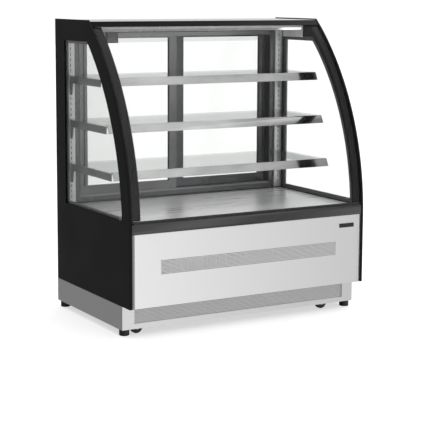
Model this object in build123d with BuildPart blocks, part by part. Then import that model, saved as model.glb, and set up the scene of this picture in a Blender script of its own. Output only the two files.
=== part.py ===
from build123d import *
import math
import os

# Refrigerated bakery display counter with a curved front glass, three glass shelves and two
# sliding rear doors. Millimetres. The origin is on the floor under the middle of the case,
# the front faces -Y, +X is the customer's right and +Z is up.

# Overall size
width = 1200
depth = 750
height = 1333

# Stand
foot_height = 28
foot_diameter = 44
foot_side_inset = 25
foot_front_inset = 29
foot_rear_inset = 30
stem_radius = 5
stem_length = 22
caster_diameter = 56
caster_tread = 20
caster_side_inset = 120
caster_trail = 36
caster_front_inset = 34
caster_rear_inset = 60
caster_axle_radius = 4
caster_ground_gap = 1.2
plinth_height = 104
plinth_recess = 76
plinth_sheet = 3
plinth_grille_side = 59
plinth_grille_bottom = 22
plinth_grille_height = 63

# Side walls: an outer leaf whose edge shows beside the glass, and an inner leaf behind it
wall_thickness = 20
edge_lip = 12
front_panel_height = 318
belt_height = 43
front_radius = 1188
curve_drop = 10

# Side windows
window_border = 71
window_rear_margin = 101
window_top_margin = 94
window_sill = 500
window_corner = 6
window_lip = 6
pane_thickness = 4
spacer_width = 12
glazing_overlap = 8

# Front glass, belt, panel and top
glass_thickness = 6
glass_bed = 1
front_rebate = 22
top_drop = 7
fascia_height = 23
fascia_depth = 48
panel_sheet = 2
panel_return = 18
base_lap = 15
badge_width = 80
badge_height = 19
badge_side_margin = 53
badge_top_margin = 37
badge_thickness = 1.5
liner_sheet = 2

# Rear frame and doors
frame_front_setback = 70
frame_rear_setback = 5
jamb_width = 65
header_bottom_drop = 65
sill_rise = 22
door_thickness = 18
door_gap = 1
fin_thickness = 3
fin_depth = 18
door_stile = 40
door_top_rail = 20
door_bottom_rail = 46
door_glass_thickness = 6
meeting_gap = 5
meeting_overlap = 10
door_side_gap = 4

# Shelving
pilaster_width = 39
pilaster_depth = 10
pilaster_sheet = 2
slot_pitch = 25
slot_width = 4
slot_height = 13
first_slot_rise = 31
shelf_names = ("lower", "middle", "upper")
shelf_drop = 42
shelf_setbacks = (220, 208, 158)
shelf_side_gap = 20
shelf_rear_gap = 15
shelf_thickness = 6
lip_height = 35
lip_lean = 18
lip_sheet = 2
bracket_sheet = 3
bracket_rear_height = 86
bracket_band = 32
bracket_heel = 14
bracket_flange = 14

# Well, deck and cooling
deck_rise = 3
deck_sheet = 2
deck_edge = 14
deck_gap = 5
well_depth = 118
insulation = 40
board_seam = 0.5
drain_radius = 8

# Clearances
fit_gap = 0.5
seat_gap = 0.3
running_clearance = 0.05

# Values worked out from the sizes above
half_width = width / 2
front_y = -depth / 2
rear_y = depth / 2
body_bottom = foot_height + plinth_height
belt_bottom = body_bottom + front_panel_height
belt_top = belt_bottom + belt_height
curve_start = belt_bottom - curve_drop
inner_x = half_width - wall_thickness
leaf_x = half_width - edge_lip
top_seat = height - top_drop
fascia_bottom = top_seat - fascia_height
plinth_front = front_y + plinth_recess
frame_front = rear_y - frame_front_setback
frame_rear = rear_y - frame_rear_setback
pilaster_front = frame_front - pilaster_depth
opening_x = inner_x - jamb_width
header_bottom = height - header_bottom_drop
deck_top = belt_top - deck_rise
first_slot = belt_top + first_slot_rise
shelf_room = (fascia_bottom - deck_top) / (len(shelf_names) + 1)
shelf_pitch = slot_pitch * int(shelf_room // slot_pitch)
shelf_levels = [first_slot - shelf_drop + shelf_pitch * (i + 1) for i in range(len(shelf_names))]
shelf_rear = pilaster_front - shelf_rear_gap
shelf_half = inner_x - shelf_side_gap
middle_z = (body_bottom + belt_top) / 2


def curve_y(setback, z):
    """Return Y of the curved front at height z, for a surface set back from the outer one."""
    rise = max(z - curve_start, 0)
    return front_y + front_radius - math.sqrt((front_radius - setback) ** 2 - rise**2)


def draw_profile(setback, mode=Mode.ADD, top=height):
    """Draw the side outline of the case in the open sketch, with its front edge set back."""
    with BuildLine() as outline:
        rear_edge = Line((rear_y, top), (rear_y, body_bottom))
        base = Line(rear_edge @ 1, (front_y + setback, body_bottom))
        upright = Line(base @ 1, (front_y + setback, curve_start))
        crown = (curve_y(setback, top), top)
        curve = TangentArc(upright @ 1, crown, tangent=(0, 1))
        Line(curve @ 1, rear_edge @ 0)
    make_face(outline.edges(), mode=mode)


def draw_band(setback, thickness, low, high):
    """Draw a strip that follows the curved front between two heights."""
    draw_profile(setback)
    draw_profile(setback + thickness, mode=Mode.SUBTRACT)
    with Locations((0, (low + high) / 2)):
        Rectangle(2 * depth, high - low, mode=Mode.INTERSECT)


def draw_bar(back_y, low, high):
    """Draw a bar between two heights, curved in front and upright at its back."""
    draw_profile(0)
    with Locations(((front_y + back_y) / 2, (low + high) / 2)):
        Rectangle(back_y - front_y, high - low, mode=Mode.INTERSECT)


def draw_window(grow):
    """Draw the side window opening, made larger all round by a distance."""
    window_rear = rear_y - window_rear_margin + grow
    low = window_sill - grow
    high = height - window_top_margin + grow
    draw_profile(window_border - grow, top=high)
    with Locations(((front_y + window_rear) / 2, (low + high) / 2)):
        Rectangle(window_rear - front_y, high - low, mode=Mode.INTERSECT)


def block(low, high, mode=Mode.ADD):
    """Add a rectangular block between two opposite corners to the open part."""
    size = [high[i] - low[i] for i in range(3)]
    centre = tuple((high[i] + low[i]) / 2 for i in range(3))
    with Locations(centre):
        Box(*size, mode=mode)


fascia_back = curve_y(0, fascia_bottom) + fascia_depth

# --- Plinth: folded steel base, open underneath, with welded nuts for the feet ---
grille_x = half_width - plinth_grille_side
grille_low = foot_height + plinth_grille_bottom
grille_high = grille_low + plinth_grille_height
foot_spots = {
    "front_left": (-half_width + foot_side_inset, plinth_front + foot_front_inset),
    "front_right": (half_width - foot_side_inset, plinth_front + foot_front_inset),
    "rear_left": (-half_width + foot_side_inset, rear_y - foot_rear_inset),
    "rear_right": (half_width - foot_side_inset, rear_y - foot_rear_inset),
}
caster_spots = {
    "front_left": (-half_width + caster_side_inset, plinth_front + caster_front_inset),
    "front_right": (half_width - caster_side_inset, plinth_front + caster_front_inset),
    "rear_left": (-half_width + caster_side_inset, rear_y - caster_rear_inset),
    "rear_right": (half_width - caster_side_inset, rear_y - caster_rear_inset),
}
caster_centre_z = caster_ground_gap + caster_diameter / 2
rail_z = caster_centre_z + caster_diameter / 2 + 8
rail_width = 54
boss_radius = 11
boss_height = 20

with BuildPart() as plinth_frame:
    block((-half_width, plinth_front, foot_height), (half_width, rear_y, body_bottom))
    block(
        (-half_width + plinth_sheet, plinth_front + plinth_sheet, foot_height - 1),
        (half_width - plinth_sheet, rear_y - plinth_sheet, body_bottom - plinth_sheet),
        mode=Mode.SUBTRACT,
    )
    block(
        (-grille_x, plinth_front - 1, grille_low),
        (grille_x, plinth_front + plinth_sheet + 1, grille_high),
        mode=Mode.SUBTRACT,
    )
    for rail_y in (plinth_front + caster_front_inset, rear_y - caster_rear_inset):
        low = (-half_width + plinth_sheet, rail_y - rail_width / 2, rail_z)
        high = (half_width - plinth_sheet, rail_y + rail_width / 2, rail_z + plinth_sheet)
        block(low, high)
    for x, y in foot_spots.values():
        block(
            (x - foot_side_inset + plinth_sheet, y - boss_radius - 3, foot_height),
            (x + foot_side_inset - plinth_sheet, y + boss_radius + 3, foot_height + plinth_sheet),
        )
        with Locations((x, y, foot_height + boss_height / 2)):
            Cylinder(boss_radius, boss_height)
            Cylinder(stem_radius + running_clearance, boss_height + 1, mode=Mode.SUBTRACT)
    front_corners = plinth_frame.edges().filter_by(Axis.Z).group_by(Axis.Y)[0]
    fillet(front_corners.sort_by(Axis.X)[0], plinth_sheet)
    front_corners = plinth_frame.edges().filter_by(Axis.Z).group_by(Axis.Y)[0]
    fillet(front_corners.sort_by(Axis.X)[-1], plinth_sheet)
plinth_frame.part.label = "plinth_frame"
export_step(plinth_frame.part, "parts/plinth_frame.step")

# --- Plinth grille: perforated sheet behind the plinth's front opening ---
grille_pitch = 12
grille_hole = 8
grille_margin = 8
with BuildPart() as plinth_grille:
    block(
        (-grille_x - grille_margin, plinth_front + plinth_sheet, grille_low - grille_margin),
        (grille_x + grille_margin, plinth_front + plinth_sheet + 1.5, grille_high + grille_margin),
    )
    columns = int(2 * grille_x // (2 * grille_pitch))
    rows = int(plinth_grille_height // grille_pitch)
    grille_plane = Plane.XZ.offset(-plinth_front)
    with BuildSketch(grille_plane):
        with Locations((0, (grille_low + grille_high) / 2)):
            with GridLocations(2 * grille_pitch, grille_pitch, columns, rows):
                SlotOverall(2 * grille_pitch - 6, grille_hole)
    extrude(amount=-20, mode=Mode.SUBTRACT)
plinth_grille.part.label = "plinth_grille"
export_step(plinth_grille.part, "parts/plinth_grille.step")

# --- Levelling feet: pad and threaded stem, each turning in its welded nut ---
for corner, (x, y) in foot_spots.items():
    with BuildPart() as foot:
        pad_height = foot_height - fit_gap
        with BuildSketch(Plane((x, y, 0), x_dir=(1, 0, 0), z_dir=(0, -1, 0))):
            with BuildLine():
                Polyline(
                    (0, 0),
                    (foot_diameter / 2 - 2, 0),
                    (foot_diameter / 2, 2),
                    (foot_diameter / 2, pad_height),
                    (stem_radius, pad_height),
                    (stem_radius, foot_height + stem_length - 1),
                    (stem_radius - 1, foot_height + stem_length),
                    (0, foot_height + stem_length),
                    close=True,
                )
            make_face()
        revolve(axis=Axis((x, y, 0), (0, 0, 1)))
    foot.part.label = f"foot_{corner}"
    export_step(foot.part, f"parts/foot_{corner}.step")

# --- Transport casters: trailing fork with its axle, and a wheel on each ---
fork_cheek = 3
cheek_gap = 2
wheel_half = caster_tread / 2
cheek_y = wheel_half + cheek_gap
with BuildPart() as caster_forks:
    for x, y in caster_spots.values():
        axle_x = x - caster_trail
        block(
            (x - 24, y - cheek_y - fork_cheek, rail_z - fork_cheek),
            (x + 24, y + cheek_y + fork_cheek, rail_z),
        )
        for cheek_rear in (y - cheek_y, y + cheek_y + fork_cheek):
            with BuildSketch(Plane.XZ.offset(-cheek_rear)):
                with BuildLine():
                    left = Line((x - 24, rail_z - fork_cheek), (axle_x - 9, caster_centre_z))
                    low_point = (axle_x, caster_centre_z - 9)
                    arc = ThreePointArc(left @ 1, low_point, (axle_x + 9, caster_centre_z))
                    right = Line(arc @ 1, (x + 20, rail_z - fork_cheek))
                    Line(right @ 1, left @ 0)
                make_face()
            extrude(amount=fork_cheek)
        with Locations(Location((axle_x, y, caster_centre_z), (90, 0, 0))):
            Cylinder(caster_axle_radius, 2 * (cheek_y + fork_cheek))
caster_forks.part.label = "caster_forks"
export_step(caster_forks.part, "parts/caster_forks.step")

for corner, (x, y) in caster_spots.items():
    with BuildPart() as wheel:
        with Locations(Location((x - caster_trail, y, caster_centre_z), (90, 0, 0))):
            Cylinder(caster_diameter / 2, caster_tread)
            Cylinder(caster_axle_radius + running_clearance, caster_tread + 1, mode=Mode.SUBTRACT)
        rims = wheel.edges().filter_by(GeomType.CIRCLE).sort_by(SortBy.RADIUS)[-2:]
        fillet(rims, 4)
    wheel.part.label = f"caster_wheel_{corner}"
    export_step(wheel.part, f"parts/caster_wheel_{corner}.step")

# --- Side walls, their windows and their double glazing ---
for side, sign in (("left", -1), ("right", 1)):
    outer_plane = Plane.YZ.offset(sign * half_width)
    leaf_plane = Plane.YZ.offset(sign * leaf_x)
    lip_plane = Plane.YZ.offset(sign * (half_width - window_lip))
    with BuildPart() as side_panel:
        with BuildSketch(outer_plane):
            draw_profile(0)
        extrude(amount=-sign * edge_lip)
        with BuildSketch(leaf_plane):
            draw_profile(glass_thickness + glass_bed)
            with Locations((front_y, middle_z)):
                Rectangle(2 * front_rebate, belt_top - body_bottom, mode=Mode.SUBTRACT)
            with Locations((0, height)):
                Rectangle(2 * depth, 2 * top_drop, mode=Mode.SUBTRACT)
            with Locations((rear_y, height / 2)):
                Rectangle(2 * frame_rear_setback, 2 * height, mode=Mode.SUBTRACT)
            with Locations((front_y, top_seat)):
                Rectangle(2 * (fascia_back - front_y), 2 * fascia_height, mode=Mode.SUBTRACT)
        extrude(amount=-sign * (wall_thickness - edge_lip))
        with BuildSketch(outer_plane) as opening:
            draw_window(0)
            fillet(opening.vertices(), window_corner)
        extrude(amount=-sign * wall_thickness, mode=Mode.SUBTRACT)
        with BuildSketch(lip_plane) as opening:
            draw_window(glazing_overlap)
            fillet(opening.vertices(), window_corner)
        extrude(amount=-sign * (wall_thickness - window_lip), mode=Mode.SUBTRACT)
    side_panel.part.label = f"side_panel_{side}"
    export_step(side_panel.part, f"parts/side_panel_{side}.step")

    with BuildPart() as glazing:
        for face_x in (half_width - window_lip, inner_x + pane_thickness):
            with BuildSketch(Plane.YZ.offset(sign * face_x)) as pane:
                draw_window(glazing_overlap - fit_gap)
                fillet(pane.vertices(), window_corner)
            extrude(amount=-sign * pane_thickness)
    glazing.part.label = f"side_glazing_{side}"
    export_step(glazing.part, f"parts/side_glazing_{side}.step")

spacer_depth = wall_thickness - window_lip - 2 * pane_thickness
with BuildPart() as side_spacers:
    for sign in (-1, 1):
        start = half_width - window_lip - pane_thickness
        with BuildSketch(Plane.YZ.offset(sign * start)) as ring:
            draw_window(glazing_overlap - fit_gap)
            fillet(ring.vertices(), window_corner)
        extrude(amount=-sign * spacer_depth)
        with BuildSketch(Plane.YZ.offset(sign * start)) as inside:
            draw_window(-spacer_width)
            fillet(inside.vertices(), window_corner / 2)
        extrude(amount=-sign * spacer_depth, mode=Mode.SUBTRACT)
side_spacers.part.label = "side_spacers"
export_step(side_spacers.part, "parts/side_spacers.step")

# --- Front glass: one bent pane between the side walls' edges ---
glass_low = belt_top + 3
glass_high = fascia_bottom - fit_gap
with BuildPart() as front_glass:
    with BuildSketch(Plane.YZ.offset(-leaf_x + fit_gap)):
        draw_band(0, glass_thickness, glass_low, glass_high)
    extrude(amount=2 * (leaf_x - fit_gap))
front_glass.part.label = "front_glass"
export_step(front_glass.part, "parts/front_glass.step")

# --- Glass channel: gasket under the pane, with an upstand behind it ---
upstand = 12
upstand_sheet = 2
with BuildPart() as glass_channel:
    with BuildSketch(Plane.YZ.offset(-inner_x)):
        draw_band(0, glass_thickness + upstand_sheet, belt_top, glass_low)
    extrude(amount=2 * inner_x)
    with BuildSketch(Plane.YZ.offset(-inner_x)):
        draw_band(glass_thickness, upstand_sheet, belt_top, belt_top + upstand)
    extrude(amount=2 * inner_x)
glass_channel.part.label = "glass_channel"
export_step(glass_channel.part, "parts/glass_channel.step")

# --- Belt rail: the deep bar under the front glass ---
with BuildPart() as belt_rail:
    with BuildSketch(Plane.YZ.offset(-leaf_x)):
        draw_bar(front_y + front_rebate, belt_bottom, belt_top)
    extrude(amount=2 * leaf_x)
belt_rail.part.label = "belt_rail"
export_step(belt_rail.part, "parts/belt_rail.step")

# --- Front panel: folded steel pan with a slotted vent ---
vent_half = 452
vent_low = belt_bottom - 180
vent_high = belt_bottom - 117
panel_face = front_y + badge_thickness
with BuildPart() as front_panel:
    block((-leaf_x, panel_face, body_bottom), (leaf_x, panel_face + panel_return, belt_bottom))
    block(
        (-leaf_x + panel_sheet, panel_face + panel_sheet, body_bottom + panel_sheet),
        (leaf_x - panel_sheet, rear_y, belt_bottom - panel_sheet),
        mode=Mode.SUBTRACT,
    )
    block(
        (-inner_x, panel_face + panel_return, body_bottom),
        (inner_x, plinth_front + base_lap, body_bottom + panel_sheet),
    )
    vent_pitch = 10.5
    vent_columns = int(2 * vent_half // (2 * vent_pitch))
    vent_rows = int((vent_high - vent_low) // vent_pitch)
    with BuildSketch(Plane.XZ.offset(-panel_face + 1)):
        with Locations((0, (vent_low + vent_high) / 2)):
            with GridLocations(2 * vent_pitch, vent_pitch, vent_columns, vent_rows):
                SlotOverall(2 * vent_pitch - 6, vent_pitch / 2)
    extrude(amount=-panel_sheet - 2, mode=Mode.SUBTRACT)
front_panel.part.label = "front_panel"
export_step(front_panel.part, "parts/front_panel.step")

# --- Badge plate: plain rectangle on the front panel ---
badge_right = half_width - badge_side_margin
badge_top = belt_bottom - badge_top_margin
with BuildPart() as badge_plate:
    block(
        (badge_right - badge_width, front_y, badge_top - badge_height),
        (badge_right, panel_face, badge_top),
    )
    fillet(badge_plate.edges().filter_by(Axis.Y), 2)
badge_plate.part.label = "badge_plate"
export_step(badge_plate.part, "parts/badge_plate.step")

# --- Canopy: fascia rail, top panel and mirror-finished liner ---
with BuildPart() as fascia_rail:
    with BuildSketch(Plane.YZ.offset(-leaf_x)):
        draw_bar(fascia_back, fascia_bottom, top_seat)
    extrude(amount=2 * leaf_x)
fascia_rail.part.label = "fascia_rail"
export_step(fascia_rail.part, "parts/fascia_rail.step")

top_front = curve_y(0, top_seat)
with BuildPart() as top_panel:
    block((-leaf_x, top_front + 2, top_seat), (leaf_x, frame_rear, top_seat + 2))
    block(
        (-inner_x, frame_rear - 2, fascia_bottom),
        (inner_x, frame_rear, top_seat),
    )
top_panel.part.label = "top_panel"
export_step(top_panel.part, "parts/top_panel.step")

with BuildPart() as canopy_liner:
    block(
        (-inner_x, fascia_back, fascia_bottom),
        (inner_x, pilaster_front, fascia_bottom + liner_sheet),
    )
    for upright_y in (fascia_back, pilaster_front - liner_sheet):
        low = (-inner_x, upright_y, fascia_bottom)
        block(low, (inner_x, upright_y + liner_sheet, top_seat))
canopy_liner.part.label = "canopy_liner"
export_step(canopy_liner.part, "parts/canopy_liner.step")

lamp_y = fascia_back + 30
lamp_width = 26
lamp_half = inner_x - 40
with BuildPart() as lamp_housing:
    block(
        (-lamp_half, lamp_y - lamp_width / 2, fascia_bottom - 12),
        (lamp_half, lamp_y + lamp_width / 2, fascia_bottom),
    )
    block(
        (-lamp_half + 2, lamp_y - lamp_width / 2 + 2, fascia_bottom - 13),
        (lamp_half - 2, lamp_y + lamp_width / 2 - 2, fascia_bottom - 4),
        mode=Mode.SUBTRACT,
    )
lamp_housing.part.label = "lamp_housing"
export_step(lamp_housing.part, "parts/lamp_housing.step")

diffuser_radius = lamp_width / 2 - 2
with BuildPart() as lamp_diffuser:
    with BuildSketch(Plane.YZ.offset(-lamp_half + 2)):
        with Locations((lamp_y, fascia_bottom - 12)):
            Circle(diffuser_radius)
            with Locations((0, diffuser_radius)):
                Rectangle(2 * diffuser_radius, 2 * diffuser_radius, mode=Mode.SUBTRACT)
        with Locations((lamp_y, fascia_bottom - 8)):
            Rectangle(2 * diffuser_radius, 8)
    extrude(amount=2 * (lamp_half - 2))
lamp_diffuser.part.label = "lamp_diffuser"
export_step(lamp_diffuser.part, "parts/lamp_diffuser.step")

# --- Air temperature sensor box under the canopy ---
sensor_x = -half_width + 193
sensor_y = (lamp_y + pilaster_front) / 2
with BuildPart() as sensor_housing:
    block(
        (sensor_x - 27, sensor_y - 15, fascia_bottom - 77),
        (sensor_x + 27, sensor_y + 15, fascia_bottom),
    )
    fillet(sensor_housing.edges().filter_by(Axis.Z), 3)
    for level in range(4):
        slot_z = fascia_bottom - 64 + 10 * level
        block(
            (sensor_x - 20, sensor_y - 16, slot_z),
            (sensor_x + 20, sensor_y - 12, slot_z + 4),
            mode=Mode.SUBTRACT,
        )
sensor_housing.part.label = "sensor_housing"
export_step(sensor_housing.part, "parts/sensor_housing.step")

# --- Rear frame: jambs, header and sill around the sliding doors ---
sill_top = belt_top + sill_rise
with BuildPart() as rear_frame:
    block((-inner_x, frame_front, belt_top), (inner_x, frame_rear, fascia_bottom))
    block(
        (-opening_x, frame_front - 1, sill_top),
        (opening_x, frame_rear + 1, header_bottom),
        mode=Mode.SUBTRACT,
    )
rear_frame.part.label = "rear_frame"
export_step(rear_frame.part, "parts/rear_frame.step")

# --- Door tracks: double channels with three fins, one under the header and one on the sill ---
lane_width = door_thickness + 2 * door_gap
track_front = frame_front + 2
track_depth = 2 * lane_width + 3 * fin_thickness
track_base = 2
lower_fin = 6
with BuildPart() as door_tracks:
    block(
        (-opening_x, track_front, header_bottom - track_base),
        (opening_x, track_front + track_depth, header_bottom),
    )
    block(
        (-opening_x, track_front, sill_top),
        (opening_x, track_front + track_depth, sill_top + track_base),
    )
    for fin in range(3):
        fin_y = track_front + fin * (lane_width + fin_thickness)
        block(
            (-opening_x, fin_y, header_bottom - fin_depth),
            (opening_x, fin_y + fin_thickness, header_bottom - track_base),
        )
        block(
            (-opening_x, fin_y, sill_top + track_base),
            (opening_x, fin_y + fin_thickness, sill_top + track_base + lower_fin),
        )
door_tracks.part.label = "door_tracks"
export_step(door_tracks.part, "parts/door_tracks.step")

# --- Sliding doors: frame with grip grooves, and its pane ---
door_low = sill_top + track_base + 1.5
door_high = header_bottom - track_base - 4
glass_edge = 8
groove_width = 10
groove_depth = 6
for lane, (side, sign) in enumerate((("left", -1), ("right", 1))):
    lane_y = track_front + fin_thickness + door_gap + lane * (lane_width + fin_thickness)
    far_x = opening_x - door_side_gap
    low_x, high_x = ((-far_x, -meeting_gap), (-meeting_gap - meeting_overlap, far_x))[lane]
    near_stile = door_stile + lane * (meeting_overlap + 2 * meeting_gap)
    low_stile, high_stile = ((door_stile, near_stile), (near_stile, door_stile))[lane]
    pane_y = lane_y + door_thickness / 2
    with BuildPart() as door_frame:
        block((low_x, lane_y, door_low), (high_x, lane_y + door_thickness, door_high))
        block(
            (low_x + low_stile, lane_y - 1, door_low + door_bottom_rail),
            (high_x - high_stile, lane_y + door_thickness + 1, door_high - door_top_rail),
            mode=Mode.SUBTRACT,
        )
        block(
            (
                low_x + low_stile - glass_edge,
                pane_y - door_glass_thickness / 2,
                door_low + door_bottom_rail - glass_edge,
            ),
            (
                high_x - high_stile + glass_edge,
                pane_y + door_glass_thickness / 2,
                door_high - door_top_rail + glass_edge,
            ),
            mode=Mode.SUBTRACT,
        )
        grip_x = sign * (far_x - door_stile / 2)
        for face_y in (lane_y, lane_y + door_thickness):
            block(
                (grip_x - groove_width / 2, face_y - groove_depth, door_low + door_bottom_rail),
                (grip_x + groove_width / 2, face_y + groove_depth, door_high - 2 * door_top_rail),
                mode=Mode.SUBTRACT,
            )
    door_frame.part.label = f"door_frame_{side}"
    export_step(door_frame.part, f"parts/door_frame_{side}.step")
    with BuildPart() as door_glass:
        block(
            (
                low_x + low_stile - glass_edge + seat_gap,
                pane_y - door_glass_thickness / 2,
                door_low + door_bottom_rail - glass_edge + seat_gap,
            ),
            (
                high_x - high_stile + glass_edge - seat_gap,
                pane_y + door_glass_thickness / 2,
                door_high - door_top_rail + glass_edge - seat_gap,
            ),
        )
    door_glass.part.label = f"door_glass_{side}"
    export_step(door_glass.part, f"parts/door_glass_{side}.step")

# --- Pilasters: slotted channels at the rear corners that carry the shelf brackets ---
slot_x = inner_x - pilaster_width / 2
pilaster_low = belt_top + 2
pilaster_high = fascia_bottom
slot_count = int((pilaster_high - first_slot - slot_pitch) // slot_pitch) + 1
slot_middle = first_slot + (slot_count - 1) * slot_pitch / 2
with BuildPart() as pilasters:
    for sign in (-1, 1):
        low_x = min(sign * (inner_x - pilaster_width), sign * (inner_x))
        high_x = max(sign * (inner_x - pilaster_width), sign * (inner_x))
        block((low_x, pilaster_front, pilaster_low), (high_x, frame_front, pilaster_high))
        block(
            (low_x + pilaster_sheet, pilaster_front + pilaster_sheet, pilaster_low - 1),
            (high_x - pilaster_sheet, frame_front + 1, pilaster_high + 1),
            mode=Mode.SUBTRACT,
        )
    with BuildSketch(Plane.XZ.offset(-pilaster_front + 1)):
        with Locations((0, slot_middle)):
            with GridLocations(2 * slot_x, slot_pitch, 2, slot_count):
                Rectangle(slot_width, slot_height)
    extrude(amount=-pilaster_sheet - 2, mode=Mode.SUBTRACT)
pilasters.part.label = "pilasters"
export_step(pilasters.part, "parts/pilasters.step")

# --- Shelf brackets: a plate hooked into the slots, with a flange that the glass lies on ---
hook_height = slot_height - 2
for side, sign in (("left", -1), ("right", 1)):
    with BuildPart() as brackets:
        for level, setback in zip(shelf_levels, shelf_setbacks):
            top = level - shelf_thickness - seat_gap
            tip = curve_y(0, level) + setback + lip_sheet + 4
            with BuildSketch(Plane.YZ.offset(sign * slot_x - bracket_sheet / 2)):
                with BuildLine():
                    Polyline(
                        (pilaster_front, top),
                        (pilaster_front, top - bracket_rear_height),
                        (pilaster_front - bracket_heel, top - bracket_rear_height),
                        (pilaster_front - 2 * bracket_heel, top - bracket_band),
                        (tip, top - bracket_band),
                        (tip, top),
                        close=True,
                    )
                make_face()
                for step in (1, 3):
                    nearest = first_slot + slot_pitch * round((top - first_slot) / slot_pitch)
                    hook_z = nearest - step * slot_pitch
                    with Locations((pilaster_front + 2, hook_z)):
                        Rectangle(4 + pilaster_sheet, hook_height)
            extrude(amount=bracket_sheet)
            flange_x = sorted((sign * slot_x, sign * (slot_x - bracket_flange)))
            block(
                (flange_x[0], tip, top - bracket_sheet),
                (flange_x[1], shelf_rear, top),
            )
    brackets.part.label = f"shelf_brackets_{side}"
    export_step(brackets.part, f"parts/shelf_brackets_{side}.step")

# --- Shelves: toughened glass with a polished front lip ---
for name, level, setback in zip(shelf_names, shelf_levels, shelf_setbacks):
    shelf_front = curve_y(0, level) + setback
    with BuildPart() as shelf_glass:
        block(
            (-shelf_half, shelf_front + lip_sheet, level - shelf_thickness),
            (shelf_half, shelf_rear, level),
        )
        fillet(shelf_glass.edges().filter_by(Axis.X), 0.8)
    shelf_glass.part.label = f"shelf_glass_{name}"
    export_step(shelf_glass.part, f"parts/shelf_glass_{name}.step")
    with BuildPart() as shelf_lip:
        with BuildSketch(Plane.YZ.offset(-shelf_half)):
            with BuildLine():
                Polyline(
                    (shelf_front + 14, level),
                    (shelf_front + 14, level + lip_sheet / 2),
                    (shelf_front, level + lip_sheet / 2),
                    (shelf_front - lip_lean, level - lip_height),
                    (shelf_front - lip_lean + 8, level - lip_height),
                    (shelf_front - lip_lean + 8, level - lip_height + lip_sheet),
                    (shelf_front - lip_lean + lip_sheet, level - lip_height + lip_sheet),
                    (shelf_front + lip_sheet, level - lip_sheet),
                    (shelf_front + lip_sheet, level),
                    close=True,
                )
            make_face()
        extrude(amount=2 * shelf_half)
    shelf_lip.part.label = f"shelf_lip_{name}"
    export_step(shelf_lip.part, f"parts/shelf_lip_{name}.step")

# --- Cold well: foam tub, steel liner and the lift-out deck ---
well_front = front_y + front_rebate + 3
well_rear = frame_front
well_top = deck_top - deck_sheet - seat_gap - 2
well_low = well_top - well_depth
well_x = inner_x
board_x = well_x - insulation
board_front = well_front + insulation
board_rear = well_rear - insulation
drain_y = well_front + 90
with BuildPart() as well_insulation:
    block((-well_x, well_front, well_low - insulation), (well_x, well_rear, well_low - board_seam))
    block((-well_x, well_front, well_low), (well_x, board_front, well_top))
    block((-well_x, board_rear, well_low), (well_x, well_rear, well_top))
    for low_x in (-well_x, board_x):
        block(
            (low_x, board_front + board_seam, well_low),
            (low_x + insulation, board_rear - board_seam, well_top),
        )
    with Locations((0, drain_y, well_low - insulation / 2)):
        Cylinder(drain_radius, insulation + 2, mode=Mode.SUBTRACT)
well_insulation.part.label = "well_insulation"
export_step(well_insulation.part, "parts/well_insulation.step")

with BuildPart() as well_liner:
    wall_low = well_low + liner_sheet + board_seam
    block((-board_x, board_front, well_low), (board_x, board_rear, well_low + liner_sheet))
    with Locations((0, drain_y, well_low + 1)):
        Cylinder(drain_radius, 2 * liner_sheet, mode=Mode.SUBTRACT)
    for outer_y, face_y, sign in ((well_front, board_front, 1), (well_rear, board_rear, -1)):
        edge_y = face_y + sign * liner_sheet
        block(
            (-well_x, min(outer_y, edge_y), well_top),
            (well_x, max(outer_y, edge_y), well_top + liner_sheet),
        )
        block((-board_x, min(face_y, edge_y), wall_low), (board_x, max(face_y, edge_y), well_top))
    end_front = board_front + liner_sheet + board_seam
    end_rear = board_rear - liner_sheet - board_seam
    for sign in (-1, 1):
        outer_x, edge_x = sign * well_x, sign * (board_x - liner_sheet)
        block(
            (min(outer_x, edge_x), end_front, well_top),
            (max(outer_x, edge_x), end_rear, well_top + liner_sheet),
        )
        face_x = sign * board_x
        block((min(face_x, edge_x), end_front, wall_low), (max(face_x, edge_x), end_rear, well_top))
well_liner.part.label = "well_liner"
export_step(well_liner.part, "parts/well_liner.step")

deck_x = well_x - deck_gap
deck_front = well_front + deck_gap
deck_rear = pilaster_front - deck_gap
edge_hole_pitch = 25
with BuildPart() as deck_plate:
    block((-deck_x, deck_front, deck_top - deck_sheet), (deck_x, deck_rear, deck_top))
    edge_x = well_x - insulation - 2 - deck_gap
    edge_front = well_front + insulation + 2 + deck_gap
    edge_rear = well_rear - insulation - 2 - deck_gap
    hole_rows = int((edge_rear - edge_front - 60) // edge_hole_pitch)
    with BuildSketch(Plane.XY.offset(deck_top + 1)):
        with Locations((0, (edge_front + edge_rear) / 2)):
            with GridLocations(2 * (edge_x - 20), edge_hole_pitch, 2, hole_rows):
                SlotOverall(14, 6, rotation=90)
    extrude(amount=-deck_sheet - 2, mode=Mode.SUBTRACT)

with BuildPart() as deck_skirts:
    skirt_low, skirt_high = deck_top - deck_edge, deck_top - deck_sheet
    for low_y in (edge_front, edge_rear - deck_sheet):
        block((-edge_x, low_y, skirt_low), (edge_x, low_y + deck_sheet, skirt_high))
    for low_x in (-edge_x, edge_x - deck_sheet):
        block(
            (low_x, edge_front + deck_sheet + board_seam, skirt_low),
            (low_x + deck_sheet, edge_rear - deck_sheet - board_seam, skirt_high),
        )

deck_pan = Compound(label="deck_pan", children=[*deck_plate.part.solids(), *deck_skirts.part.solids()])
export_step(deck_pan, "parts/deck_pan.step")

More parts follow.
